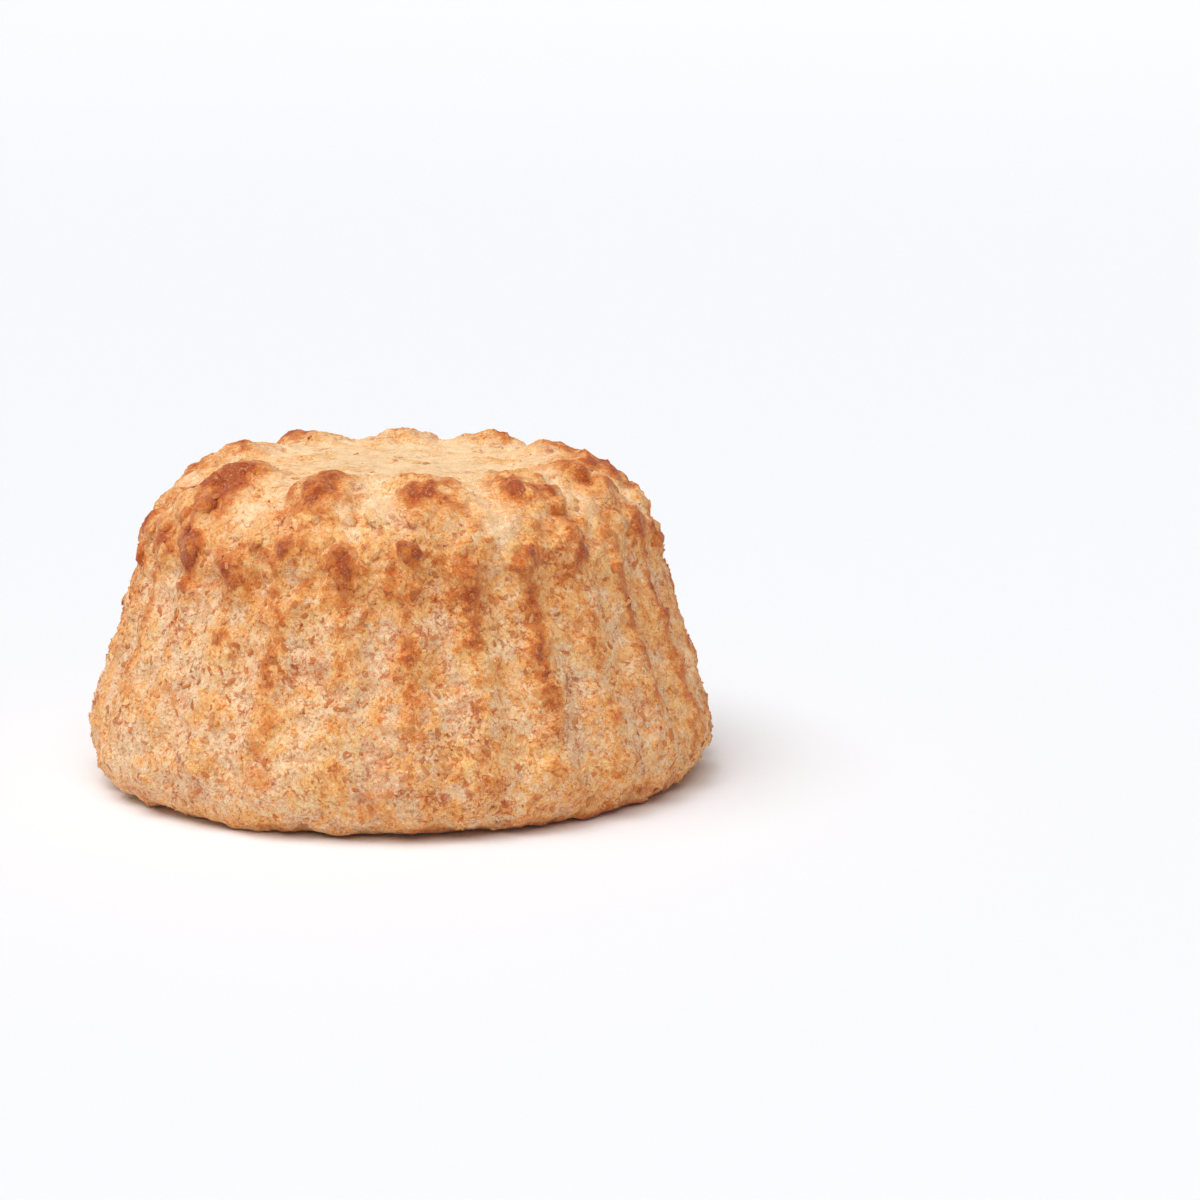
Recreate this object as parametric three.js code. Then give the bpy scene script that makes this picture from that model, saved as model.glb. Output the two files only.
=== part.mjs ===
// A maamoul: a shortcrust semolina biscuit pressed in a fluted mould round a date filling, then baked.
// It is whole, so it is one closed solid that stands on its flat base.
// Millimetres, +Z up, origin in the middle of the base. Angles go round from the front, -Y, towards +X.

import * as THREE from "three";
import { mergeVertices } from "three/addons/utils/BufferGeometryUtils.js";

const { degToRad, smoothstep } = THREE.MathUtils;

// Driving dimensions
const bellyRadius = 25.1; // across the crests of the flutes, at the widest
const baseRadius = 22.4; // of the flat that the biscuit stands on
const bellyHeight = 4.4; // where it is widest
const height = 26; // to the petals' tops
const rimRadius = 14; // of the ring on which the petals are highest
const crownDish = 0.5; // how far the middle of the crown sinks below its edge

// Flutes: upright ribs round the wall, each ending in a knob under the shoulder
const fluteCount = 27;
const fluteDepth = 0.6;
const firstFlute = degToRad(5);
const fluteFoot = 4.5; // full depth from this height up
const knobHeight = 19.8; // mean height of the knobs above the base
const knobScatter = 1.3; // a knob sits this much higher or lower
const knobSwell = 0.6;
const knobReach = 2.4; // how far up and down the rib a knob swells

// Petals: rounded lobes round the crown's edge, parted by smooth dips that run in to the crown
const petalCount = 12;
const petalHeight = 0.95;
const petalDown = 4.2; // how far a petal runs down the shoulder
const petalIn = 5; // how far it fades in across the crown
const petalFullness = 1.3; // above 1 the lobes are broader than the dips between them
const firstPetal = degToRad(12);
const petalDrift = degToRad(6); // the petals behind have slid round by twice this
const petalFading = 0.22; // the petals behind are lower by twice this share

// Baked unevenness
const grooveUnevenness = 0.3; // share of the depth by which grooves differ
const knobUnevenness = 0.45;
const petalUnevenness = 0.14;
const crownSlope = 0.012; // the crown falls towards +X by this much for each millimetre
const lumpDepth = 0.1;
const wornSpot = new THREE.Vector3(-16.4, -1.7, 24.5); // the shoulder is worn down round here
const wornReach = 8;
const wearInwards = 0.9;
const wearDown = 1.5;

// Mesh fineness
const columnsPerFlute = 5;
const rowsPerStretch = 3; // between two neighbouring points of the outline

const columns = fluteCount * columnsPerFlute;
const crownHeight = height - petalHeight;
const fullTurn = 2 * Math.PI;
const goldenAngle = degToRad(137.5);

// From the edge of the base, round the heel, up the wall, over the shoulder and in to the middle of the crown
function outline() {
  const wall = new THREE.SplineCurve([
    new THREE.Vector2(baseRadius, 0),
    new THREE.Vector2(bellyRadius - 1, 1.6),
    new THREE.Vector2(bellyRadius, bellyHeight),
    new THREE.Vector2(bellyRadius - 1.6, 9.5),
    new THREE.Vector2(bellyRadius - 3.5, 15),
    new THREE.Vector2(bellyRadius - 4.7, 18.7),
    new THREE.Vector2(bellyRadius - 6, 21.8),
    new THREE.Vector2(bellyRadius - 8.3, 23.9),
    new THREE.Vector2(rimRadius, crownHeight - 0.1),
    new THREE.Vector2(rimRadius * 0.78, crownHeight - crownDish * 0.3),
    new THREE.Vector2(rimRadius * 0.5, crownHeight - crownDish * 0.7),
    new THREE.Vector2(0, crownHeight - crownDish),
  ]);
  const stretches = wall.points.length - 1;
  return [new THREE.Vector2(0, 0), ...wall.getPoints(rowsPerStretch * stretches)];
}

// 1 at the middle, falling smoothly to 0 at the reach
function hump(distance, reach) {
  const share = Math.min(1, Math.abs(distance) / reach);
  return (1 + Math.cos(Math.PI * share)) / 2;
}

// A repeatable number from -1 to 1 for each rib or petal
function unevenness(index, kind) {
  return Math.sin(goldenAngle * index * 1.7 + kind);
}

// The nearest of a ring of ribs or petals: its index, the index of the gap that the angle lies in, and a crest
// that is 1 on the rib and falls to 0 in the middle of the gap
function nearest(angle, first, count) {
  const turns = (count * (angle - first)) / fullTurn;
  return {
    index: (Math.round(turns) + count) % count,
    gap: (Math.floor(turns) + count) % count,
    crest: (1 + Math.cos(fullTurn * turns)) / 2,
  };
}

// How far the ribs and knobs move the wall outwards: 0 along a crest, negative in the groove beside it
function flute(angle, z) {
  const { index, gap, crest } = nearest(angle, firstFlute, fluteCount);
  const top = knobHeight + knobScatter * unevenness(index, 1);
  const foot = smoothstep(z, 0, fluteFoot);
  const head = 1 - smoothstep(z, top, top + 2 * knobReach);
  const depth = fluteDepth * (1 + grooveUnevenness * unevenness(gap, 4));
  const swell = knobSwell * (1 + knobUnevenness * unevenness(index, 2));
  return depth * (crest - 1) * foot * head + swell * crest * hump(z - top, knobReach);
}

// How far the petals lift the crown's edge
function petal(angle, radius, z) {
  const drifted = angle - petalDrift * (Math.cos(angle - firstPetal) - 1);
  const { index, crest } = nearest(drifted, firstPetal, petalCount);
  const even = 1 - petalFading * (1 - Math.cos(angle));
  const strength = even * (1 - petalUnevenness * (1 + unevenness(index, 3)));
  const fade =
    radius > rimRadius
      ? hump(Math.hypot(radius - rimRadius, z - crownHeight), petalDown)
      : hump(rimRadius - radius, petalIn);
  return petalHeight * strength * Math.min(1, petalFullness * crest) * fade;
}

// Slow waves in the wall, from hand pressing
function lumps(angle, z) {
  return (
    Math.sin(3 * angle + 0.35 * z) +
    0.7 * Math.sin(7 * angle - 0.5 * z + 1) +
    0.5 * Math.sin(11 * angle + 0.9 * z + 2)
  );
}

function shape(point) {
  const radius = Math.hypot(point.x, point.y);
  if (radius === 0) return;
  const angle = Math.atan2(point.x, -point.y);
  const outward = flute(angle, point.z) + lumpDepth * lumps(angle, point.z);
  const share = 1 + (outward * Math.min(1, radius / rimRadius) ** 2) / radius;
  const onTop = smoothstep(point.z, knobHeight, crownHeight);
  const lift = point.z > 0 ? petal(angle, radius, point.z) - crownSlope * point.x * onTop : 0;
  point.set(point.x * share, point.y * share, point.z + lift);
  const worn = hump(point.distanceTo(wornSpot), wornReach);
  point.x += wearInwards * worn;
  point.z -= wearDown * worn;
}

function biscuitGeometry() {
  const lathe = new THREE.LatheGeometry(outline(), columns, firstFlute).rotateX(Math.PI / 2);
  lathe.deleteAttribute("normal");
  lathe.deleteAttribute("uv");
  const geometry = mergeVertices(lathe);
  const position = geometry.getAttribute("position");
  const point = new THREE.Vector3();
  for (let i = 0; i < position.count; i++) {
    shape(point.fromBufferAttribute(position, i));
    position.setXYZ(i, ...point);
  }
  geometry.computeBoundingBox();
  const middle = geometry.boundingBox.getCenter(new THREE.Vector3());
  geometry.translate(-middle.x, -middle.y, 0);
  geometry.computeVertexNormals();
  return geometry;
}

const crust = new THREE.MeshStandardMaterial({ color: "#d9a566", roughness: 0.85, metalness: 0 });

const biscuit = new THREE.Mesh(biscuitGeometry(), crust);
biscuit.name = "biscuit";

const maamoul = new THREE.Group();
maamoul.add(biscuit);

export default maamoul;
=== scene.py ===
# A maamoul: a round shortcrust biscuit of semolina and wholemeal flour, pressed in a fluted mould and baked.
import math

import bmesh
import bpy
import numpy as np
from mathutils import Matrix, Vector, noise


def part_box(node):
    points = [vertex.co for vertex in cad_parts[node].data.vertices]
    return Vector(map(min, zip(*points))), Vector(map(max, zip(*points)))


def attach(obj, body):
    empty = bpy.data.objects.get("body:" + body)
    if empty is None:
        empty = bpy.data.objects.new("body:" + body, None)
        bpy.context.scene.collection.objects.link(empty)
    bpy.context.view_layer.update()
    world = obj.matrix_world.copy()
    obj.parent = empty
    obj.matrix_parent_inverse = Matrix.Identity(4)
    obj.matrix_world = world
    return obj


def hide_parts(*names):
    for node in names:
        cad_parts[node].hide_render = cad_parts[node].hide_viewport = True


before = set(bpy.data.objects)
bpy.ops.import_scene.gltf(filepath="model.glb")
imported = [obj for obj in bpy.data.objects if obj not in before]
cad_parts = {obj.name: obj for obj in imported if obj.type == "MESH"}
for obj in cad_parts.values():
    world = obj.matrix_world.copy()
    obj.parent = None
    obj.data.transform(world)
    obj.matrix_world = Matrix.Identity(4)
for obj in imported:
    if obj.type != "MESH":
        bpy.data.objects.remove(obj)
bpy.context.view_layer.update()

mm = 0.001  # Blender works in metres, a biscuit is thought of in millimetres
tiny = 0.01 * mm  # what lies nearer than this is in one place
low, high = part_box("biscuit")
bellyRadius = (high.x - low.x) / 2
height = high.z - low.z


# Helpers


def linearColour(hexCode):
    channels = [int(hexCode[i : i + 2], 16) / 255 for i in (1, 3, 5)]
    return [c / 12.92 if c <= 0.04045 else ((c + 0.055) / 1.055) ** 2.4 for c in channels] + [1]


def addNode(tree, kind, inputs=None, output=0, **settings):
    # Adds one node and gives back one of its outputs. An input is a value, or the output to link from.
    node = tree.nodes.new(kind)
    for name, value in settings.items():
        setattr(node, name, value)
    for name, value in (inputs or {}).items():
        if isinstance(value, bpy.types.NodeSocket):
            tree.links.new(value, node.inputs[name])
        else:
            node.inputs[name].default_value = value
    return node.outputs[output] if node.outputs else None


def startPiece(name):
    # Names the primitive just added and leaves it alone in the selection.
    piece = bpy.context.object
    piece.name = piece.data.name = name
    return piece


def selectOnly(piece):
    bpy.ops.object.select_all(action="DESELECT")
    piece.select_set(True)
    bpy.context.view_layer.objects.active = piece


def pick(piece, test):
    # In edit mode, selects the vertices whose place passes the test, and says how many there are.
    bpy.ops.mesh.select_all(action="DESELECT")
    cage = bmesh.from_edit_mesh(piece.data)
    for vertex in cage.verts:
        vertex.select = test(vertex.co)
    cage.select_flush_mode()
    bmesh.update_edit_mesh(piece.data)
    return sum(vertex.select for vertex in cage.verts)


def angleOf(place):
    # Degrees round from the front, -Y, towards +X.
    return math.degrees(math.atan2(place.x, -place.y))


def angleApart(a, b):
    return abs((a - b + 180) % 360 - 180)


def outwards(angle):
    return Vector((math.sin(math.radians(angle)), -math.cos(math.radians(angle)), 0))


def wobble(index, kind):
    # A repeatable number from -1 to 1 for each rib or petal. The stride keeps neighbours unlike.
    goldenAngle = math.radians(137.5)
    stride = 1.7
    return math.sin(goldenAngle * index * stride + kind)


# Camera: level with the biscuit's shoulder and a little above, on the angle of a close product view

cameraSettings = {
    "lens": 86.4,
    "sensor": 36,
    "pitch": 11,  # degrees down
    "distance": 230.8 * mm,
    "aimX": 15.9 * mm,
    "aimZ": 13.46 * mm,
}


def addCamera(s):
    pitch = math.radians(s["pitch"])
    aim = Vector((s["aimX"], 0, s["aimZ"]))
    bpy.ops.object.camera_add(
        location=aim - s["distance"] * Vector((0, math.cos(pitch), -math.sin(pitch))),
        rotation=(math.pi / 2 - pitch, 0, 0),
    )
    camera = bpy.context.object
    camera.data.lens = s["lens"]
    camera.data.sensor_width = s["sensor"]
    camera.data.clip_start = 10 * mm
    camera.data.clip_end = 20
    bpy.context.scene.camera = camera


addCamera(cameraSettings)
print("camera placed")


# The biscuit

biscuitSettings = {
    "columns": 108,  # four for each rib
    "firstColumn": 5,  # degrees; a column runs up the crest of this rib
    "ringSpacing": 0.98 * mm,
    "crownGrid": 8.6 * mm,  # radius inside which the crown is a grid and not rings
    "baseRings": [0.86, 0.6, 0.3],  # of the base's radius
    # Radius and height up the outline, as shares of the belly's radius and the biscuit's height
    "outline": [
        (0.85, 0.0),
        (0.918, 0.02),
        (0.964, 0.068),
        (1.0, 0.169),
        (0.936, 0.365),
        (0.861, 0.577),
        (0.813, 0.719),
        (0.761, 0.838),
        (0.669, 0.919),
        (0.558, 0.96),
        (0.435, 0.958),
        (0.279, 0.95),
        (0.0, 0.944),
    ],
}


def catmullRom(t, a, b, c, d):
    # Runs from b to c as t goes from 0 to 1.
    return (2 * b + (c - a) * t + (2 * a - 5 * b + 4 * c - d) * t**2 + (3 * b - a - 3 * c + d) * t**3) / 2


def smoothOutline(points, spacing, innerRadius):
    # A Catmull-Rom curve through the points, walked in even steps until it comes in to the inner radius.
    samples = 40  # on each stretch
    path = []
    for i in range(len(points) - 1):
        p0, p1 = points[max(i - 1, 0)], points[i]
        p2, p3 = points[i + 1], points[min(i + 2, len(points) - 1)]
        for t in np.linspace(0, 1, samples, endpoint=False):
            path.append([catmullRom(t, *corners) for corners in zip(p0, p1, p2, p3)])
    path = np.array([p for p in path if p[0] >= innerRadius])
    along = np.concatenate([[0], np.cumsum(np.linalg.norm(np.diff(path, axis=0), axis=1))])
    steps = np.linspace(0, along[-1], round(along[-1] / spacing) + 1)
    return [(float(np.interp(t, along, path[:, 0])), float(np.interp(t, along, path[:, 1]))) for t in steps]


def extrudeRing(fromRadius, fromHeight, toRadius, toHeight):
    bpy.ops.mesh.extrude_region_move(TRANSFORM_OT_translate={"value": (0, 0, toHeight - fromHeight)})
    share = toRadius / fromRadius
    bpy.ops.transform.resize(value=(share, share, 1), center_override=(0, 0, toHeight))


def settleOrder(piece):
    # The operators leave edges and faces in another order each time, and what is strewn on them follows it.
    # Along this slant no two of them lie level.
    slant = Vector((1, 0.618, 0.414))
    cage = bmesh.from_edit_mesh(piece.data)
    cage.edges.sort(key=lambda edge: (edge.verts[0].co + edge.verts[1].co).dot(slant))
    cage.faces.sort(key=lambda face: face.calc_center_median().dot(slant))
    bmesh.update_edit_mesh(piece.data)


def turnBiscuit(s):
    points = [(r * bellyRadius, z * height) for r, z in s["outline"]]
    rings = smoothOutline(points, s["ringSpacing"], s["crownGrid"])
    bpy.ops.object.select_all(action="DESELECT")
    bpy.ops.mesh.primitive_circle_add(
        vertices=s["columns"],
        radius=rings[0][0],
        fill_type="NOTHING",
        rotation=(0, 0, math.radians(s["firstColumn"])),
    )
    piece = startPiece("maamoulCrust")
    bpy.ops.object.transform_apply(location=False, rotation=True, scale=False)
    bpy.ops.object.mode_set(mode="EDIT")
    bpy.ops.mesh.select_all(action="SELECT")
    for before, after in zip(rings, rings[1:]):
        extrudeRing(*before, *after)
    bpy.ops.mesh.fill_grid(span=s["columns"] // 4)
    pick(piece, lambda place: place.z < tiny)
    baseRadius = rings[0][0]
    for outer, inner in zip([1, *s["baseRings"]], s["baseRings"]):
        extrudeRing(outer * baseRadius, 0, inner * baseRadius, 0)
    bpy.ops.mesh.extrude_region_move()
    bpy.ops.mesh.merge(type="CENTER")
    bpy.ops.mesh.select_all(action="SELECT")
    bpy.ops.mesh.remove_doubles(threshold=tiny / 10)
    bpy.ops.mesh.normals_make_consistent(inside=False)
    settleOrder(piece)
    bpy.ops.object.mode_set(mode="OBJECT")
    return piece


# Ribs, knobs and petals, pushed and pulled with soft selection

reliefSettings = {
    "ribs": 27,
    "firstRib": 5,  # degrees
    "wallRadius": 0.9 * bellyRadius,  # on the whole
    "grooveDepth": 0.95 * mm,
    "grooveUnevenness": 0.3,  # share of the depth by which grooves differ
    "grooveFoot": 3.0 * mm,
    "grooveTop": 18.6 * mm,
    "grooveReach": 2.4 * mm,
    "knobHeight": 19.8 * mm,
    "knobScatter": 1.5 * mm,  # a knob sits this much higher or lower
    "knobRadius": 0.81 * bellyRadius,
    "knobSwell": 0.7 * mm,
    "knobRise": 0.3,  # it goes up by this share of what it goes out
    "knobUnevenness": 0.45,
    "knobReach": 2.4 * mm,
    "reachUnevenness": 0.2,
    "petals": 12,
    "firstPetal": 12,  # degrees
    "petalDrift": 6,  # degrees; the petals behind have slid round by twice this
    "rearSpread": 14,  # degrees; and those behind on the left lie further apart
    "petalRadius": 14.4 * mm,
    "petalLevel": 0.955 * height,
    "petalLift": 1.3 * mm,
    "petalFading": 0.22,  # the petals behind are lower by twice this share
    "petalUnevenness": 0.14,
    "petalReach": 4.4 * mm,
    "skirtRadius": 1.2,  # of the petal's; below its top a petal swells a little more
    "skirtLevel": 0.92 * height,
    "skirtLift": 0.3,  # of the petal's
    "dipRadius": 1.08,  # of the petal's
    "dipLevel": 0.95 * height,
    "dipDepth": 0.7 * mm,
    "dipReach": 3.4 * mm,
    # The shoulder is worn down on the -X side
    "wornAngle": -84,
    "wornRadius": 16.5 * mm,
    "wornLevel": 24.5 * mm,
    "wornShift": (0.9 * mm, 0, -1.5 * mm),
    "wornReach": 8 * mm,
    # The crown falls a little towards +X
    "fallFrom": 0.3 * bellyRadius,
    "fallAbove": 0.9 * height,
    "fall": 0.3 * mm,
    "fallReach": 9 * mm,
}


def ribAngles(s):
    return [s["firstRib"] + 360 / s["ribs"] * k for k in range(s["ribs"])]


def petalAngles(s):
    even = [360 / s["petals"] * k for k in range(s["petals"])]
    angles = []
    for a in even:
        back, left = -math.cos(math.radians(a)), -math.sin(math.radians(a))
        slide = -s["petalDrift"] * (back + 1) + s["rearSpread"] * max(back, 0) * max(left, 0)
        angles.append(a + s["firstPetal"] + slide)
    return angles


def knobPlaces(s):
    # The angle, height and strength of the knob at the head of each rib.
    return [
        (angle, s["knobHeight"] + s["knobScatter"] * wobble(k, 1), 1 + s["knobUnevenness"] * wobble(k, 2))
        for k, angle in enumerate(ribAngles(s))
    ]


def petalPlaces(s):
    # The angle and strength of each petal. Those behind were pressed less deep.
    places = []
    for k, angle in enumerate(petalAngles(s)):
        byAngle = 1 - s["petalFading"] + s["petalFading"] * math.cos(math.radians(angle))
        places.append((angle, byAngle * (1 - s["petalUnevenness"] * (1 + wobble(k, 3)))))
    return places


def onCrust(angle, radius, level):
    return outwards(angle) * radius + Vector((0, 0, level))


def pressGrooves(piece, s):
    halfStep = 180 / s["ribs"]
    halfColumn = 180 / biscuitSettings["columns"]
    for k, angle in enumerate(ribAngles(s)):
        groove = angle + halfStep
        depth = s["grooveDepth"] * (1 + s["grooveUnevenness"] * wobble(k, 4))
        top = s["grooveTop"] + s["knobScatter"] / 2 * (wobble(k, 1) + wobble(k + 1, 1))
        pick(
            piece,
            lambda place: s["grooveFoot"] < place.z < top
            and angleApart(angleOf(place), groove) < halfColumn,
        )
        share = 1 - depth / s["wallRadius"]
        bpy.ops.transform.resize(
            value=(share, share, 1),
            center_override=(0, 0, 0),
            use_proportional_edit=True,
            proportional_edit_falloff="SMOOTH",
            proportional_size=s["grooveReach"],
        )


def pullBump(piece, spot, shift, reach):
    # Pulls the vertex nearest the spot, and what lies within reach of it less and less.
    corners = [vertex.co.copy() for vertex in bmesh.from_edit_mesh(piece.data).verts]
    nearest = min(corners, key=lambda corner: (corner - spot).length)
    pick(piece, lambda place: (place - nearest).length < tiny)
    bpy.ops.transform.translate(
        value=shift, use_proportional_edit=True, proportional_edit_falloff="SMOOTH", proportional_size=reach
    )


def raiseKnobs(piece, s):
    for k, (angle, level, strength) in enumerate(knobPlaces(s)):
        spot = onCrust(angle, s["knobRadius"], level)
        shift = (outwards(angle) + Vector((0, 0, s["knobRise"]))) * s["knobSwell"] * strength
        pullBump(piece, spot, shift, s["knobReach"] * (1 + s["reachUnevenness"] * wobble(k, 5)))


def raisePetals(piece, s):
    for angle, strength in petalPlaces(s):
        top = onCrust(angle, s["petalRadius"], s["petalLevel"])
        pullBump(piece, top, Vector((0, 0, s["petalLift"] * strength)), s["petalReach"])
        dip = onCrust(angle + 180 / s["petals"], s["petalRadius"] * s["dipRadius"], s["dipLevel"])
        pullBump(piece, dip, Vector((0, 0, -s["dipDepth"] * strength)), s["dipReach"])
        skirt = onCrust(angle, s["petalRadius"] * s["skirtRadius"], s["skirtLevel"])
        upAndOut = outwards(angle) + Vector((0, 0, 1))
        pullBump(piece, skirt, upAndOut * s["skirtLift"] * s["petalLift"] * strength, s["petalReach"])


def wearLeft(piece, s):
    spot = onCrust(s["wornAngle"], s["wornRadius"], s["wornLevel"])
    pullBump(piece, spot, Vector(s["wornShift"]), s["wornReach"])


def sinkRight(piece, s):
    pick(piece, lambda place: place.z > s["fallAbove"] and place.x > s["fallFrom"])
    bpy.ops.transform.translate(
        value=(0, 0, -s["fall"]),
        use_proportional_edit=True,
        proportional_edit_falloff="SMOOTH",
        proportional_size=s["fallReach"],
    )


biscuit = turnBiscuit(biscuitSettings)
print("biscuit turned:", len(biscuit.data.polygons), "faces")

bpy.ops.object.mode_set(mode="EDIT")
pressGrooves(biscuit, reliefSettings)
raiseKnobs(biscuit, reliefSettings)
raisePetals(biscuit, reliefSettings)
wearLeft(biscuit, reliefSettings)
sinkRight(biscuit, reliefSettings)
bpy.ops.object.mode_set(mode="OBJECT")
print("ribs, knobs and petals raised")


# The crust's own relief: waves from the hand, lumps of dough, clods on the shoulder and crumb

crustSettings = {
    "subdivision": 2,
    "smoothCrown": 0.62,  # share of the relief that the middle of the crown lacks
    "crownRadii": (5 * mm, 12.5 * mm),  # as smooth as that inside the first, and not at all past the second
    "trayHeight": 0.5 * mm,  # below this the dough lay on the tray
    "trayRoughness": 0.12,
    "clodLevel": 0.83 * height,
    "clodReach": (0.09 * height, 0.22 * height),
    "clodRadii": (12 * mm, 15 * mm),  # none inside the first
    # Name, size of its pattern, depth, contrast and vertex group
    "relief": [
        ("handWaves", 9 * mm, 0.8 * mm, 1.0, "rough"),
        ("doughLumps", 2.7 * mm, 1.15 * mm, 1.0, "rough"),
        ("shoulderClods", 2.2 * mm, 0.8 * mm, 1.6, "clods"),
        ("crumb", 1.05 * mm, 0.5 * mm, 1.2, "rough"),
    ],
}


def applyModifier(piece, kind, **settings):
    modifier = piece.modifiers.new(kind.title(), kind)
    for name, value in settings.items():
        setattr(modifier, name, value)
    selectOnly(piece)
    bpy.ops.object.modifier_apply(modifier=modifier.name)


def weigh(piece, name, weights):
    group = piece.vertex_groups.new(name=name)
    for index, weight in enumerate(weights):
        group.add([index], float(weight), "REPLACE")


def cloudTexture(name, size):
    texture = bpy.data.textures.new(name, "CLOUDS")
    texture.noise_scale = size
    texture.noise_depth = 2
    return texture


def roughenCrust(piece, s):
    applyModifier(piece, "SUBSURF", levels=s["subdivision"], render_levels=s["subdivision"])
    places = vertexPlaces(piece)
    radii = np.hypot(places[:, 0], places[:, 1])
    rough = 1 - s["smoothCrown"] * fadeOut(radii, *s["crownRadii"])
    rough *= np.clip(places[:, 2] / s["trayHeight"], s["trayRoughness"], 1)
    weigh(piece, "rough", rough)
    onShoulder = fadeOut(np.abs(places[:, 2] - s["clodLevel"]), *s["clodReach"])
    weigh(piece, "clods", onShoulder * (1 - fadeOut(radii, *s["clodRadii"])))
    for name, size, depth, contrast, group in s["relief"]:
        texture = cloudTexture(name, size)
        texture.contrast = contrast
        applyModifier(
            piece,
            "DISPLACE",
            texture=texture,
            texture_coords="LOCAL",
            strength=depth,
            vertex_group=group,
        )
    # What came out below the base is pressed flat again
    bpy.ops.object.mode_set(mode="EDIT")
    pick(piece, lambda place: place.z < 0)
    bpy.ops.transform.resize(value=(1, 1, 0), center_override=(0, 0, 0))
    bpy.ops.object.mode_set(mode="OBJECT")


def vertexPlaces(piece):
    places = np.empty(len(piece.data.vertices) * 3)
    piece.data.vertices.foreach_get("co", places)
    return places.reshape(-1, 3)


def fadeOut(values, start, end):
    # 1 below the start, falling smoothly to 0 at the end.
    share = np.clip((values - start) / (end - start), 0, 1)
    return 1 - share * share * (3 - 2 * share)


roughenCrust(biscuit, crustSettings)
bpy.ops.object.shade_smooth()
print("crust roughened:", len(biscuit.data.polygons), "faces")


# Browning: the oven catches what stands proud, so ribs, knobs and petals are toasted and grooves stay pale.
# The +X wall and the heel also get painted shade here. Each part adds some toast or shade, or takes some
# away.
# A pair says where that starts to fade and where it ends.

browningAndShadeSettings = {
    "shoulder": 0.66,
    "shoulderAllRound": 0.35,  # share of it that even the far side has
    "hotShoulder": -65,  # degrees; the shoulder baked most on this side
    "shoulderFoot": (14 * mm, 21 * mm),
    "wall": 0.42,
    "toastAndShadeSide": 70,  # degrees; the wall is browner on this side, partly toast and partly painted shade, as the key light leaves it in shade
    "paleWall": 0.05,
    "paleWallTop": (6 * mm, 15 * mm),
    "paleCrown": 0.9,  # share of the toast that the crown lacks
    "crownEdge": (8 * mm, 14 * mm),
    # The heel and base: the underside's own baking, and painted shade where the foot meets the floor under
    # the belly
    "heel": 0.28,
    "heelTop": (0.2 * mm, 3.4 * mm),
    "base": 0.3,
    "baseTop": (0.1 * mm, 1.2 * mm),
    "rib": 0.78,
    "ribUnevenness": 0.3,
    "ribBand": (0, 3.8),  # degrees either side of the crest
    "ribFoot": (2 * mm, 6 * mm),
    "ribTop": (14 * mm, 20.5 * mm),
    "ribFading": 0.6,  # share of the toast that a rib loses towards its foot
    "ribFades": (5 * mm, 17 * mm),
    "brokenRibs": 0.6,  # share of the rib's toast that is broken up
    "paleGroove": 0.08,
    "knob": 0.32,
    "knobRadius": 0.83 * bellyRadius,
    "knobSpot": (0.4 * mm, 2.8 * mm),
    "petal": 0.56,
    "petalGain": 0.9,  # the lower a petal, the browner, by this share
    "petalRadius": 1.1,  # of the ring that the petals were raised on
    "petalLevel": 0.975 * height,
    "petalSpot": (0.4 * mm, 3.8 * mm),
    "petalSides": (5, 15),  # degrees
    "paleDip": 0.9,
    "smoothDip": 0.7,
    "dipRadius": 15 * mm,
    "dipReach": (2.5 * mm, 6 * mm),
    "dipFoot": (18 * mm, 21 * mm),
    "brokenSize": 1.5 * mm,  # of the patches that browned spots break up into
    "brokenContrast": 2.4,
    "clodLevel": 20.3 * mm,
    "clodReach": (1.5 * mm, 4 * mm),
    "clodsAllRound": 0.25,
    "petalClods": 0.6,
    "cloddyPetals": 0.6,  # petals weaker than this have none
    "strewnTop": (17 * mm, 23.5 * mm),
    "strewnCrown": 0.08,  # share of the strewn grains that the crown has
    "strewnFoot": 0.3 * mm,
    "crownPatch": (8.5 * mm, 15.2 * mm),
    "crownFoot": (0.8 * height, 0.92 * height),
    "smoothing": 14,  # rounds that make the surface from which proud spots are told
}


def proudness(piece, rounds):
    # How far each vertex stands out from its smoothed surroundings, in millimetres.
    count = len(piece.data.vertices)
    ends = np.empty(len(piece.data.edges) * 2, dtype=np.int64)
    piece.data.edges.foreach_get("vertices", ends)
    a, b = ends.reshape(-1, 2).T
    neighbours = np.bincount(a, minlength=count) + np.bincount(b, minlength=count)
    places = vertexPlaces(piece)
    smooth = places.copy()
    for _ in range(rounds):
        total = np.stack(
            [
                np.bincount(a, weights=smooth[b, axis], minlength=count)
                + np.bincount(b, weights=smooth[a, axis], minlength=count)
                for axis in range(3)
            ],
            axis=1,
        )
        smooth = 0.5 * smooth + 0.5 * total / neighbours[:, None]
    normals = np.empty(count * 3)
    piece.data.vertices.foreach_get("normal", normals)
    return np.einsum("ij,ij->i", places - smooth, normals.reshape(-1, 3)) / mm


def writeAttribute(piece, name, values):
    attribute = piece.data.attributes.new(name, "FLOAT", "POINT")
    attribute.data.foreach_set("value", np.asarray(values, dtype=np.float32))


def brokenness(places, size, contrast):
    # From 0 to 2 over the crust, in patches.
    return np.array([min(max(1 + contrast * noise.noise(Vector(place) / size), 0), 2) for place in places])


def facing(angles, side):
    # 1 on that side, falling to 0 on the far side.
    return 0.5 + 0.5 * np.cos(np.radians(angles - side))


def besides(angles, middle):
    return np.abs((angles - middle + 180) % 360 - 180)


def spotOn(places, middle, reach):
    return fadeOut(np.linalg.norm(places - np.array(middle), axis=1), *reach)


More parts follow.
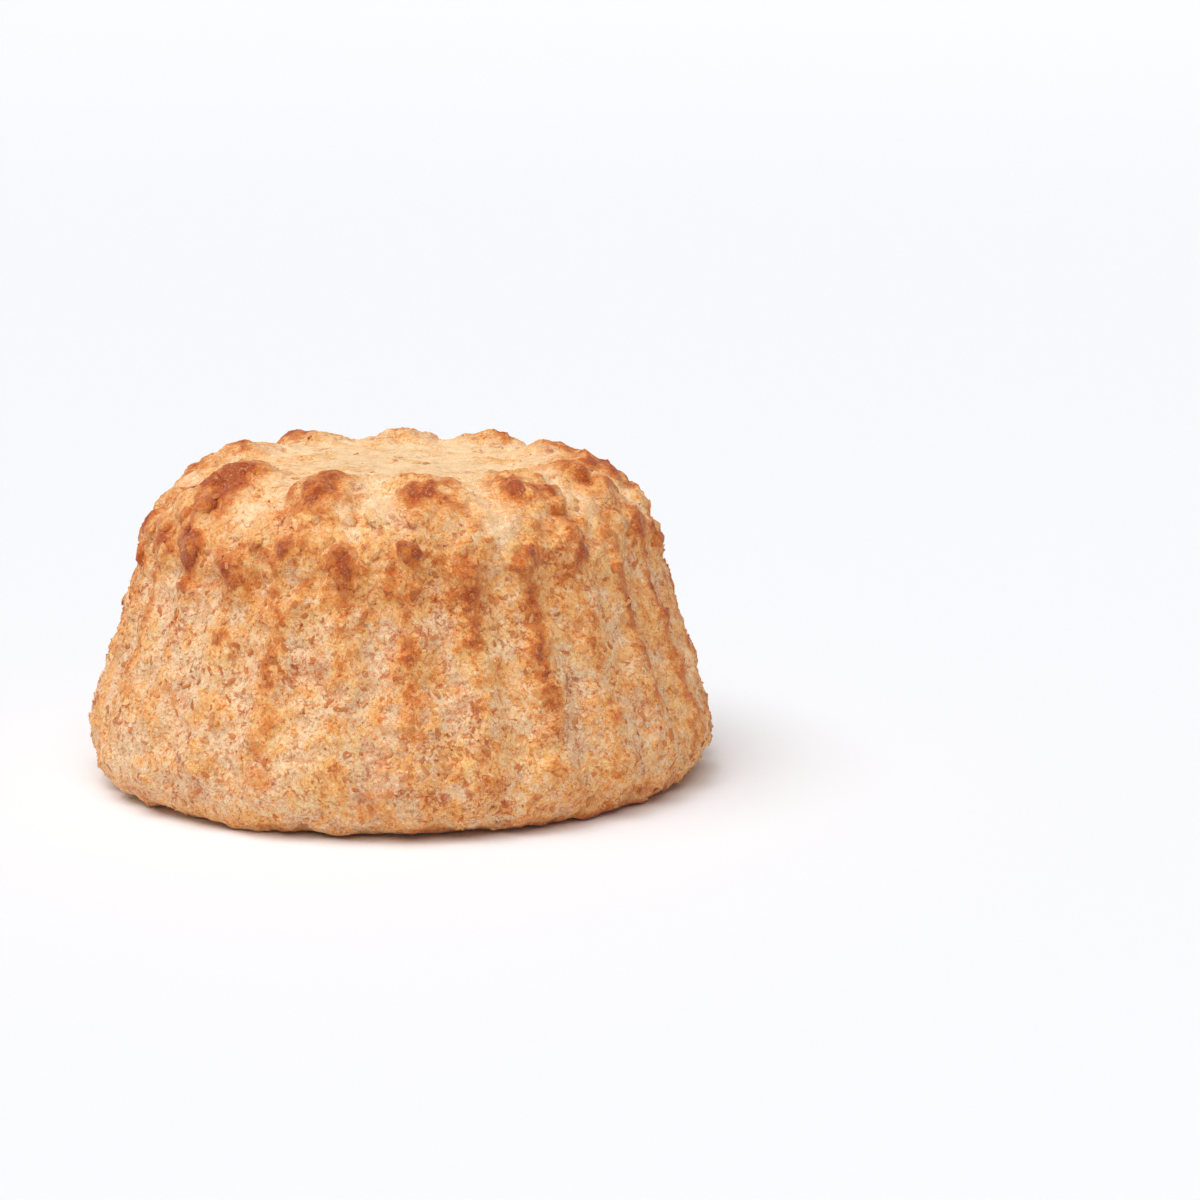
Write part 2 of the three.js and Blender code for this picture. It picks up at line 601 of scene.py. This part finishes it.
def brownAndShade(piece, s, relief):
    places = vertexPlaces(piece)
    x, y, z = places.T
    radii = np.hypot(x, y)
    angles = np.degrees(np.arctan2(x, -y))
    broken = brokenness(places, s["brokenSize"], s["brokenContrast"])
    petals = petalPlaces(relief)
    hotShoulder = facing(angles, s["hotShoulder"])

    toastAndShade = s["shoulder"] * (s["shoulderAllRound"] + hotShoulder**4) * (1 - fadeOut(z, *s["shoulderFoot"]))
    toastAndShade -= s["paleWall"] * fadeOut(z, *s["paleWallTop"])
    # Partly painted shade: the +X side, away from the key light, is made browner
    toastAndShade += s["wall"] * facing(angles, s["toastAndShadeSide"]) ** 2
    sides = [fadeOut(besides(angles, angle), *s["petalSides"]) for angle, strength in petals]
    byPetal = np.max(sides, axis=0)
    dips = (1 - byPetal) * fadeOut(np.abs(radii - s["dipRadius"]), *s["dipReach"])
    dips *= 1 - fadeOut(z, *s["dipFoot"])
    toastAndShade -= s["paleDip"] * dips
    toastAndShade *= 1 - s["paleCrown"] * fadeOut(radii, *s["crownEdge"])
    # Browner heel and base: partly their own baking, partly painted shade where the foot meets the floor
    toastAndShade += s["heel"] * fadeOut(z, *s["heelTop"]) + s["base"] * fadeOut(z, *s["baseTop"])
    onWall = fadeOut(z, *s["ribTop"]) * (1 - fadeOut(z, *s["ribFoot"]))
    toastAndShade -= s["paleGroove"] * onWall

    ribStrength = onWall * (1 - s["ribFading"] * fadeOut(z, *s["ribFades"]))
    ribStrength = ribStrength * (1 - s["brokenRibs"] + s["brokenRibs"] * broken)
    for k, (angle, level, strength) in enumerate(knobPlaces(relief)):
        rib = fadeOut(besides(angles, angle), *s["ribBand"]) * ribStrength
        toastAndShade += rib * s["rib"] * (1 + s["ribUnevenness"] * wobble(k, 6))
        knob = spotOn(places, onCrust(angle, s["knobRadius"], level), s["knobSpot"])
        toastAndShade += knob * s["knob"] * strength * broken

    cloddy = fadeOut(np.abs(z - s["clodLevel"]), *s["clodReach"])
    cloddy *= s["clodsAllRound"] + (1 - s["clodsAllRound"]) * hotShoulder
    for angle, strength in petals:
        middle = onCrust(angle, relief["petalRadius"] * s["petalRadius"], s["petalLevel"])
        petal = spotOn(places, middle, s["petalSpot"])
        toastAndShade += petal * s["petal"] * (1 + s["petalGain"] * (1 - strength)) * broken
        cloddy += petal * s["petalClods"] * max(strength - s["cloddyPetals"], 0)

    strewn = s["strewnCrown"] + (1 - s["strewnCrown"]) * fadeOut(z, *s["strewnTop"])
    strewn *= np.clip((z / s["strewnFoot"] - 1) / 2, 0, 1)
    crown = fadeOut(radii, *s["crownPatch"]) * (1 - fadeOut(z, *s["crownFoot"]))
    writeAttribute(piece, "toastAndShade", toastAndShade)
    writeAttribute(piece, "proud", proudness(piece, s["smoothing"]))
    writeAttribute(piece, "strewn", strewn)
    writeAttribute(piece, "cloddy", cloddy)
    writeAttribute(piece, "crown", np.maximum(crown, s["smoothDip"] * dips))


brownAndShade(biscuit, browningAndShadeSettings, reliefSettings)
print("browning laid down")


# Materials

# Baked shortcrust of semolina and wholemeal flour: dry, granular and matt, pale where the mould kept it
# from the heat and golden to brown where it stood proud, with bran showing as rusty flecks. Shade in the
# hollows and fine creases of the grain, and some highlight on its tops, are painted into the colour too.
crustLook = {
    "pale": "#f7d7ab",
    "sand": "#eccaa2",
    "crown": "#ffdeae",
    # Partly the flour's own cream colour, partly painted highlight on the tops of the fine grain and along
    # thin threads
    "creamAndHighlight": "#fff0d8",
    "golden": "#f5b564",
    "butter": "#f8cd82",
    "rosy": "#efc3a8",
    "toasted": "#d47731",
    "dark": "#a64a28",
    "bran": "#c26a36",
    "speck": "#a2361e",
    # Painted shade: this tone darkens the hollows of the fine grain, where the bump dips
    "paintedHollowShade": "#efb98a",
    # Painted shade: thin dark lines that stand for the shade in fine creases of the crumb
    "paintedHairlineShade": "#e5a673",
    "roughness": 0.85,
    # Size, detail, roughness and distortion of each soft pattern
    "patterns": {
        "batches": (4 * mm, 3.0, 0.55, 0.0),
        "patches": (1.8 * mm, 4.0, 0.6, 0.6),
        "blotches": (1.7 * mm, 4.0, 0.6, 0.8),
        "clusters": (2.6 * mm, 2.0, 0.5, 0.0),
        "lumps": (0.62 * mm, 4.0, 0.65, 0.4),
        "tears": (0.44 * mm, 2.0, 0.6, 0.7),
        "scraps": (0.26 * mm, 2.0, 0.6, 0.7),
        "curls": (0.5 * mm, 3.0, 0.6, 1.2),
        "folds": (0.38 * mm, 3.0, 0.6, 1.6),
        "grains": (0.2 * mm, 4.0, 0.75, 0.8),
    },
    # How much each pattern or attribute adds to the heat that a spot has taken; the browning attribute also
    # brings painted shade on the +X wall and at the heel
    "heatAndShade": {
        "proud": 1.1,
        "toastAndShade": 1.0,
        "tint": 0.25,
        "batches": 0.6,
        "patches": 2.6,
        "lumps": 2.4,
        "grains": 1.6,
    },
    # Colour, what drives it, from where to where it comes in, and how strongly at most
    "layers": [
        ("sand", "batches", 0.38, 0.62, 1.0, "MIX"),
        ("crown", "crown", 0.0, 1.0, 1.0, "MIX"),
        ("golden", "patches", 0.46, 0.66, 0.45, "MIX"),
        ("golden", "heatAndShade", 3.54, 4.05, 0.95, "MIX"),
        ("butter", "blotches", 0.52, 0.64, 0.5, "MIX"),
        ("rosy", "blotches", 0.47, 0.35, 0.5, "MULTIPLY"),
        # Painted highlight as well as cream: lighter where the grain and its bump are high, and along thin
        # threads
        ("creamAndHighlight", "grains", 0.54, 0.68, 0.7, "MIX"),
        ("creamAndHighlight", "threads", 0.0, 1.0, 0.6, "MIX"),
        ("toasted", "heatAndShade", 4.2, 4.66, 0.87, "MIX"),
        ("dark", "heatAndShade", 4.74, 5.2, 0.85, "MIX"),
        ("golden", "threads", 0.0, 1.0, 0.32, "MIX"),
        ("butter", "grains", 0.56, 0.68, 0.28, "MIX"),
        ("bran", "broadFlakes", 0.0, 1.0, 0.6, "MIX"),
        ("bran", "tornBran", 0.83, 0.95, 0.75, "MIX"),
        ("bran", "fineBran", 0.84, 0.96, 0.75, "MIX"),
        # Painted shade in the grain's hollows, where the bump is low
        ("paintedHollowShade", "grains", 0.5, 0.36, 1.0, "MULTIPLY"),
        # Painted shade along thin lines, as in fine creases
        ("paintedHairlineShade", "paintedShadeLines", 0.0, 1.0, 0.8, "MULTIPLY"),
        # Painted highlight as well as cream on the tops of the grain
        ("creamAndHighlight", "grains", 0.58, 0.7, 0.25, "MIX"),
        ("crown", "crownPatches", 0.0, 1.0, 0.7, "MIX"),
        ("speck", "specks", 0.0, 1.0, 0.7, "MIX"),
    ],
    # Spacing, greatest radius and the share of the places that holds one
    "broadFlakes": (1.7 * mm, 0.5 * mm, 0.5),
    "specks": (1.0 * mm, 0.13 * mm, 0.6),
    "flakeDrift": (0.8 * mm, 1.4 * mm),  # size and reach of what makes the broad flakes ragged
    "clustering": 0.45,  # torn bran lies in clusters
    # The dark lines are painted shade of fine creases, and the threads are light lines of cream and gold
    "lines": {"paintedShadeLines": ("curls", 0.03), "threads": ("folds", 0.028)},  # the pattern they follow, and width
    "crownGaps": (0.44, 0.62),  # blotches between these let the crown's paleness through less and less
    "crownLeast": 0.1,
    "bumpDepth": 0.12 * mm,
    "bumpLumps": 1.2,  # lumps count for this much more than grains
    "bumpStrength": (0.8, 0.3),  # on the wall, and on the smoother crown
}


def flecks(tree, coordinates, spacing, radius, share):
    # Scattered flecks of unlike size: 0 outside, more than 0 inside. Only a share of the cells holds one.
    cells = {"Vector": coordinates, "Scale": 1 / spacing, "Randomness": 1.0}
    distance = addNode(tree, "ShaderNodeTexVoronoi", cells, "Distance")
    chance = addNode(tree, "ShaderNodeSeparateColor", {"Color": distance.node.outputs["Color"]}, "Red")
    size = addNode(
        tree,
        "ShaderNodeMath",
        {0: chance.node.outputs["Green"], 1: 0.7 * radius / spacing, 2: 0.5 * radius / spacing},
        operation="MULTIPLY_ADD",
    )
    holds = addNode(tree, "ShaderNodeMath", {0: chance, 1: share}, operation="LESS_THAN")
    inside = addNode(
        tree,
        "ShaderNodeMapRange",
        {"Value": distance, "From Min": 0.0, "From Max": size, "To Min": 2.0, "To Max": 0.0},
    )
    return addNode(tree, "ShaderNodeMath", {0: inside, 1: holds}, operation="MULTIPLY")


def crustDrivers(tree, look):
    # Everything that the colour layers and the relief are driven by, by name.
    place = addNode(tree, "ShaderNodeTexCoord", output="Object")
    driftSize, driftReach = look["flakeDrift"]
    inputs = {"Vector": place, "Scale": 1 / driftSize, "Detail": 4.0}
    drift = addNode(tree, "ShaderNodeTexNoise", inputs, "Color")
    centred = addNode(tree, "ShaderNodeVectorMath", {0: drift, 1: (0.5, 0.5, 0.5)}, operation="SUBTRACT")
    warped = addNode(
        tree, "ShaderNodeVectorMath", {0: centred, 1: (driftReach,) * 3, 2: place}, operation="MULTIPLY_ADD"
    )
    drivers = {}
    for name in ["toastAndShade", "proud", "crown", "tint"]:
        drivers[name] = addNode(tree, "ShaderNodeAttribute", output="Fac", attribute_name=name)
    for name, (size, detail, roughness, distortion) in look["patterns"].items():
        # The noise's blobs are about 0.6 of its period across
        settings = {"Scale": 0.6 / size, "Detail": detail, "Roughness": roughness, "Distortion": distortion}
        drivers[name] = addNode(tree, "ShaderNodeTexNoise", {"Vector": place, **settings}, "Fac")
    drivers["heatAndShade"] = 0.0
    for name, share in look["heatAndShade"].items():
        inputs = {0: drivers[name], 1: share, 2: drivers["heatAndShade"]}
        drivers["heatAndShade"] = addNode(tree, "ShaderNodeMath", inputs, operation="MULTIPLY_ADD")
    for name, torn in [("tornBran", "tears"), ("fineBran", "scraps")]:
        inputs = {0: drivers["clusters"], 1: look["clustering"], 2: drivers[torn]}
        drivers[name] = addNode(tree, "ShaderNodeMath", inputs, operation="MULTIPLY_ADD")
    drivers["broadFlakes"] = flecks(tree, warped, *look["broadFlakes"])
    drivers["specks"] = flecks(tree, place, *look["specks"])
    start, end = look["crownGaps"]
    gaps = {"Value": drivers["blotches"], "From Min": start, "From Max": end, "To Min": 1.0}
    clear = addNode(tree, "ShaderNodeMapRange", {**gaps, "To Max": look["crownLeast"]})
    inputs = {0: drivers["crown"], 1: clear}
    drivers["crownPatches"] = addNode(tree, "ShaderNodeMath", inputs, operation="MULTIPLY")
    # A thin line runs wherever a pattern passes its middle value
    for name, (winding, width) in look["lines"].items():
        off = addNode(tree, "ShaderNodeMath", {0: drivers[winding], 1: 0.5}, operation="SUBTRACT")
        off = addNode(tree, "ShaderNodeMath", {0: off}, operation="ABSOLUTE")
        drivers[name] = addNode(
            tree, "ShaderNodeMapRange", {"Value": off, "From Max": width, "To Min": 1.0, "To Max": 0.0}
        )
    return drivers


def makeCrustMaterial(name, look):
    material = bpy.data.materials.new(name)
    material.use_nodes = True
    tree = material.node_tree
    tree.nodes.clear()
    drivers = crustDrivers(tree, look)
    colour = linearColour(look["pale"])
    for shade, driver, start, end, strength, mode in look["layers"]:
        share = addNode(
            tree,
            "ShaderNodeMapRange",
            {"Value": drivers[driver], "From Min": start, "From Max": end, "To Max": strength},
            interpolation_type="SMOOTHSTEP",
        )
        inputs = {"Fac": share, "Color1": colour, "Color2": linearColour(look[shade])}
        colour = addNode(tree, "ShaderNodeMixRGB", inputs, blend_type=mode)
    inputs = {0: drivers["lumps"], 1: look["bumpLumps"], 2: drivers["grains"]}
    relief = addNode(tree, "ShaderNodeMath", inputs, operation="MULTIPLY_ADD")
    onWall, onCrown = look["bumpStrength"]
    inputs = {"Value": drivers["crown"], "To Min": onWall, "To Max": onCrown}
    strength = addNode(tree, "ShaderNodeMapRange", inputs)
    inputs = {"Strength": strength, "Distance": look["bumpDepth"], "Height": relief}
    bump = addNode(tree, "ShaderNodeBump", inputs)
    surface = addNode(
        tree,
        "ShaderNodeBsdfPrincipled",
        {
            "Base Color": colour,
            "Roughness": look["roughness"],
            "IOR": 1.45,
            "Specular IOR Level": 0.25,
            "Sheen Weight": 0.15,
            "Sheen Roughness": 0.5,
            "Normal": bump,
        },
    )
    addNode(tree, "ShaderNodeOutputMaterial", {"Surface": surface})
    return material


# Flakes of wheat bran: thin dry husk, brown to orange, paler where it is worn
branLook = {
    "husk": "#c9783f",
    "worn": "#e0a168",
    "grain": 0.3 * mm,
    "tint": 0.35,  # how much flakes differ from each other
    "bumpDepth": 0.05 * mm,
    "roughness": 0.7,
}


def makeBranMaterial(name, look):
    material = bpy.data.materials.new(name)
    material.use_nodes = True
    tree = material.node_tree
    tree.nodes.clear()
    place = addNode(tree, "ShaderNodeTexCoord", output="Object")
    inputs = {"Vector": place, "Scale": 0.6 / look["grain"], "Detail": 3.0}
    wear = addNode(tree, "ShaderNodeTexNoise", inputs)
    tint = addNode(tree, "ShaderNodeAttribute", output="Fac", attribute_name="tint")
    share = addNode(tree, "ShaderNodeMath", {0: tint, 1: look["tint"], 2: wear}, operation="MULTIPLY_ADD")
    share = addNode(tree, "ShaderNodeMapRange", {"Value": share, "From Min": 0.3, "From Max": 0.8})
    inputs = {"Fac": share, "Color1": linearColour(look["husk"]), "Color2": linearColour(look["worn"])}
    colour = addNode(tree, "ShaderNodeMixRGB", inputs)
    bump = addNode(tree, "ShaderNodeBump", {"Strength": 0.5, "Distance": look["bumpDepth"], "Height": wear})
    surface = addNode(
        tree,
        "ShaderNodeBsdfPrincipled",
        {"Base Color": colour, "Roughness": look["roughness"], "Specular IOR Level": 0.3, "Normal": bump},
    )
    addNode(tree, "ShaderNodeOutputMaterial", {"Surface": surface})
    return material


bakedShortcrust = makeCrustMaterial("bakedShortcrust", crustLook)
wheatBran = makeBranMaterial("wheatBran", branLook)
biscuit.data.materials.append(bakedShortcrust)
print("materials made")


# Grains of semolina, crumbs and clods of dough and flakes of bran, partly sunk in the crust

strewnSettings = {
    "semolinaGrains": {
        "seed": 3,
        "where": "strewn",  # the crust's attribute that says how thickly they lie
        "perSquareMetre": 1.9e6,  # where they lie thickest
        "spacing": 0.42 * mm,
        "size": 0.4 * mm,
        "stretch": ((0.7, 0.6, 0.5), (1.3, 1.0, 0.9)),  # least and most along, across and upwards
        "tilt": 0.9,  # radians
        "tint": (-1.0, 1.0),
    },
    "doughCrumbs": {
        "seed": 7,
        "where": "strewn",
        "perSquareMetre": 0.55e6,
        "spacing": 0.8 * mm,
        "size": 0.95 * mm,
        "stretch": ((0.6, 0.5, 0.3), (1.4, 1.0, 0.62)),
        "tilt": 0.35,
        "tint": (-1.0, 1.4),
        "torn": (0.5 * mm, 0.25 * mm),  # size and depth of the unevenness given to each
    },
    "doughClods": {
        "seed": 5,
        "where": "cloddy",
        "perSquareMetre": 0.3e6,
        "spacing": 1.5 * mm,
        "size": 2.0 * mm,
        "stretch": ((0.6, 0.45, 0.26), (1.3, 1.0, 0.5)),
        "tilt": 0.3,
        "tint": (-0.5, 0.8),
        "torn": (0.9 * mm, 0.7 * mm),
    },
    "branFlakes": {
        "seed": 11,
        "where": "strewn",
        "perSquareMetre": 0.24e6,
        "spacing": 0.8 * mm,
        "size": 0.75 * mm,
        "stretch": ((0.5, 0.35, 0.8), (1.4, 0.8, 1.2)),
        "tilt": 0.22,
        "tint": (-1.0, 1.0),
        "torn": (0.45 * mm, 0.3 * mm),
    },
}


# Each shape is modelled about 1 across, on the crust at height 0, and gets its size when it is strewn


def sinkShape(depth):
    # Lowers the whole shape, so that it sits deeper in the crust.
    bpy.ops.mesh.select_all(action="SELECT")
    bpy.ops.transform.translate(value=(0, 0, -depth))


def semolinaGrain():
    bpy.ops.mesh.primitive_ico_sphere_add(subdivisions=1, radius=0.5)
    grain = startPiece("semolinaGrain")
    bpy.ops.object.mode_set(mode="EDIT")
    pick(grain, lambda place: place.x > 0.2 and place.z > 0)
    bpy.ops.transform.translate(value=(0.12, 0.06, -0.1))
    sinkShape(0.15)
    bpy.ops.object.mode_set(mode="OBJECT")
    bpy.ops.object.shade_smooth()
    return grain


def doughCrumb():
    bpy.ops.mesh.primitive_cube_add(size=0.8)
    crumb = startPiece("doughCrumb")
    bpy.ops.object.mode_set(mode="EDIT")
    pick(crumb, lambda place: place.z > 0 and place.x > 0)
    bpy.ops.transform.translate(value=(0.1, -0.08, -0.12))
    pick(crumb, lambda place: place.z < 0 and place.y > 0)
    bpy.ops.transform.resize(value=(0.7, 1.2, 1), center_override=(0, 0, 0))
    sinkShape(0.15)
    bpy.ops.object.mode_set(mode="OBJECT")
    applyModifier(crumb, "SUBSURF", levels=1, render_levels=1)
    bpy.ops.object.shade_smooth()
    return crumb


def branFlake():
    # A torn scale, arched over its middle.
    bpy.ops.mesh.primitive_circle_add(vertices=8, radius=0.5, fill_type="NGON")
    flake = startPiece("branFlake")
    bpy.ops.object.mode_set(mode="EDIT")
    bpy.ops.mesh.select_all(action="SELECT")
    bpy.ops.mesh.inset(thickness=0.22)
    bpy.ops.transform.translate(value=(0, 0, 0.1))
    pick(flake, lambda place: place.x > 0.3)
    bpy.ops.transform.translate(value=(0.12, 0.1, 0.05))
    pick(flake, lambda place: place.y < -0.3 and place.x < 0)
    bpy.ops.transform.translate(value=(0.1, 0.16, 0.04))
    bpy.ops.mesh.select_all(action="SELECT")
    bpy.ops.mesh.extrude_region_move(TRANSFORM_OT_translate={"value": (0, 0, 0.09)})
    sinkShape(0.1)
    bpy.ops.mesh.select_all(action="SELECT")
    bpy.ops.mesh.normals_make_consistent(inside=False)
    bpy.ops.object.mode_set(mode="OBJECT")
    return flake


def doughClod():
    bpy.ops.mesh.primitive_ico_sphere_add(subdivisions=2, radius=0.5)
    clod = startPiece("doughClod")
    bpy.ops.object.mode_set(mode="EDIT")
    # It is dented and swollen on two sides
    for side, shift in [((0.4, 0.2, 0.2), (-0.1, 0.08, 0.06)), ((-0.2, -0.4, 0.1), (0.1, 0.12, -0.1))]:
        pick(clod, lambda place: (place - Vector(side)).length < 0.15)
        bpy.ops.transform.translate(
            value=shift,
            use_proportional_edit=True,
            proportional_edit_falloff="SMOOTH",
            proportional_size=0.5,
        )
    sinkShape(0.28)
    bpy.ops.object.mode_set(mode="OBJECT")
    bpy.ops.object.shade_smooth()
    return clod


def strewingGroup(name, shape, s):
    tree = bpy.data.node_groups.new(name, "GeometryNodeTree")
    tree.interface.new_socket("Crust", in_out="INPUT", socket_type="NodeSocketGeometry")
    tree.interface.new_socket("Strewn", in_out="OUTPUT", socket_type="NodeSocketGeometry")
    crust = addNode(tree, "NodeGroupInput")
    thickness = addNode(
        tree, "GeometryNodeInputNamedAttribute", {"Name": s["where"]}, "Attribute", data_type="FLOAT"
    )
    points = addNode(
        tree,
        "GeometryNodeDistributePointsOnFaces",
        {
            "Mesh": crust,
            "Distance Min": s["spacing"],
            "Density Max": s["perSquareMetre"],
            "Density Factor": thickness,
            "Seed": s["seed"],
        },
        "Points",
        distribute_method="POISSON",
    )
    least, most = (-s["tilt"], -s["tilt"], -math.pi), (s["tilt"], s["tilt"], math.pi)
    inputs = {"Min": least, "Max": most, "Seed": s["seed"] + 1}
    spin = addNode(tree, "FunctionNodeRandomValue", inputs, data_type="FLOAT_VECTOR")
    spin = addNode(tree, "FunctionNodeEulerToRotation", {"Euler": spin})
    turned = addNode(
        tree,
        "FunctionNodeRotateRotation",
        {"Rotation": points.node.outputs["Rotation"], "Rotate By": spin},
        rotation_space="LOCAL",
    )
    least, most = [[share * s["size"] for share in shares] for shares in s["stretch"]]
    extent = {"Min": least, "Max": most, "Seed": s["seed"] + 2}
    size = addNode(tree, "FunctionNodeRandomValue", extent, data_type="FLOAT_VECTOR")
    model = addNode(tree, "GeometryNodeObjectInfo", {"Object": shape}, "Geometry")
    inputs = {"Points": points, "Instance": model, "Rotation": turned, "Scale": size}
    copies = addNode(tree, "GeometryNodeInstanceOnPoints", inputs)
    palest, brownest = s["tint"]
    inputs = {2: palest, 3: brownest, "Seed": s["seed"] + 3}
    tint = addNode(tree, "FunctionNodeRandomValue", inputs, 1, data_type="FLOAT")
    tinted = addNode(
        tree,
        "GeometryNodeStoreNamedAttribute",
        {"Geometry": copies, "Name": "tint", "Value": tint},
        data_type="FLOAT",
        domain="INSTANCE",
    )
    real = addNode(tree, "GeometryNodeRealizeInstances", {"Geometry": tinted})
    addNode(tree, "NodeGroupOutput", {"Strewn": real})
    return tree


def strew(name, shape, material, s):
    # A copy of the crust is strewn with the shape, and only what is strewn is kept.
    shape.data.materials.append(material)
    selectOnly(biscuit)
    bpy.ops.object.duplicate()
    piece = startPiece(name)
    piece.data.materials.clear()
    applyModifier(piece, "NODES", node_group=strewingGroup(name, shape, s))
    bpy.data.objects.remove(shape)
    if "torn" in s:
        size, depth = s["torn"]
        texture = cloudTexture(name, size)
        texture.cloud_type = "COLOR"
        applyModifier(
            piece,
            "DISPLACE",
            texture=texture,
            texture_coords="LOCAL",
            direction="RGB_TO_XYZ",
            strength=depth,
        )
    print(name, "strewn:", len(piece.data.polygons), "faces")
    return piece


strewnPieces = [
    strew("semolinaGrains", semolinaGrain(), bakedShortcrust, strewnSettings["semolinaGrains"]),
    strew("doughCrumbs", doughCrumb(), bakedShortcrust, strewnSettings["doughCrumbs"]),
    strew("doughClods", doughClod(), bakedShortcrust, strewnSettings["doughClods"]),
    strew("branFlakes", branFlake(), wheatBran, strewnSettings["branFlakes"]),
]


# Stage: a pale studio floor that curves up far away, a little light all round, a soft key from the upper
# left, and a broad soft light from above and in front

stageSettings = {
    "floorColumns": 96,
    "floorRings": [(0.9, 0.0), (1.6, 0.03), (2.4, 0.16), (3.2, 0.45)],  # radius and height in metres
    "floorColour": "#f8f9fc",
    "sky": 0.16,
    # Strength, degrees across and where it comes from
    "softKey": (1.22, 45, (-0.43, -0.12, 1.0)),
    "topLight": (1.78, 62, (-0.06, -0.42, 1.0)),
}


def addStage(s):
    radii = s["floorRings"]
    bpy.ops.object.select_all(action="DESELECT")
    bpy.ops.mesh.primitive_circle_add(vertices=s["floorColumns"], radius=radii[0][0], fill_type="NGON")
    floor = startPiece("studioFloor")
    bpy.ops.object.mode_set(mode="EDIT")
    bpy.ops.mesh.select_all(action="SELECT")
    bpy.ops.mesh.region_to_loop()
    for (r0, z0), (r1, z1) in zip(radii, radii[1:]):
        extrudeRing(r0, z0, r1, z1)
    bpy.ops.object.mode_set(mode="OBJECT")
    bpy.ops.object.shade_smooth()
    paint = bpy.data.materials.new("mattWhiteBoard")
    paint.use_nodes = True
    board = paint.node_tree.nodes["Principled BSDF"]
    board.inputs["Base Color"].default_value = linearColour(s["floorColour"])
    board.inputs["Roughness"].default_value = 0.7
    board.inputs["Specular IOR Level"].default_value = 0.2
    floor.data.materials.append(paint)

    world = bpy.data.worlds.new("studio")
    world.use_nodes = True
    world.node_tree.nodes["Background"].inputs["Color"].default_value = (1, 1, 1, 1)
    world.node_tree.nodes["Background"].inputs["Strength"].default_value = s["sky"]
    bpy.context.scene.world = world
    for name in ["softKey", "topLight"]:
        strength, across, comesFrom = s[name]
        bpy.ops.object.light_add(type="SUN", rotation=Vector(comesFrom).to_track_quat("Z", "Y").to_euler())
        light = bpy.context.object
        light.name = name
        light.data.energy = strength
        light.data.angle = math.radians(across)


addStage(stageSettings)
bpy.context.scene.view_settings.view_transform = "Standard"
print("stage set")

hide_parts("biscuit")
for piece in [biscuit, *strewnPieces]:
    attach(piece, "root")
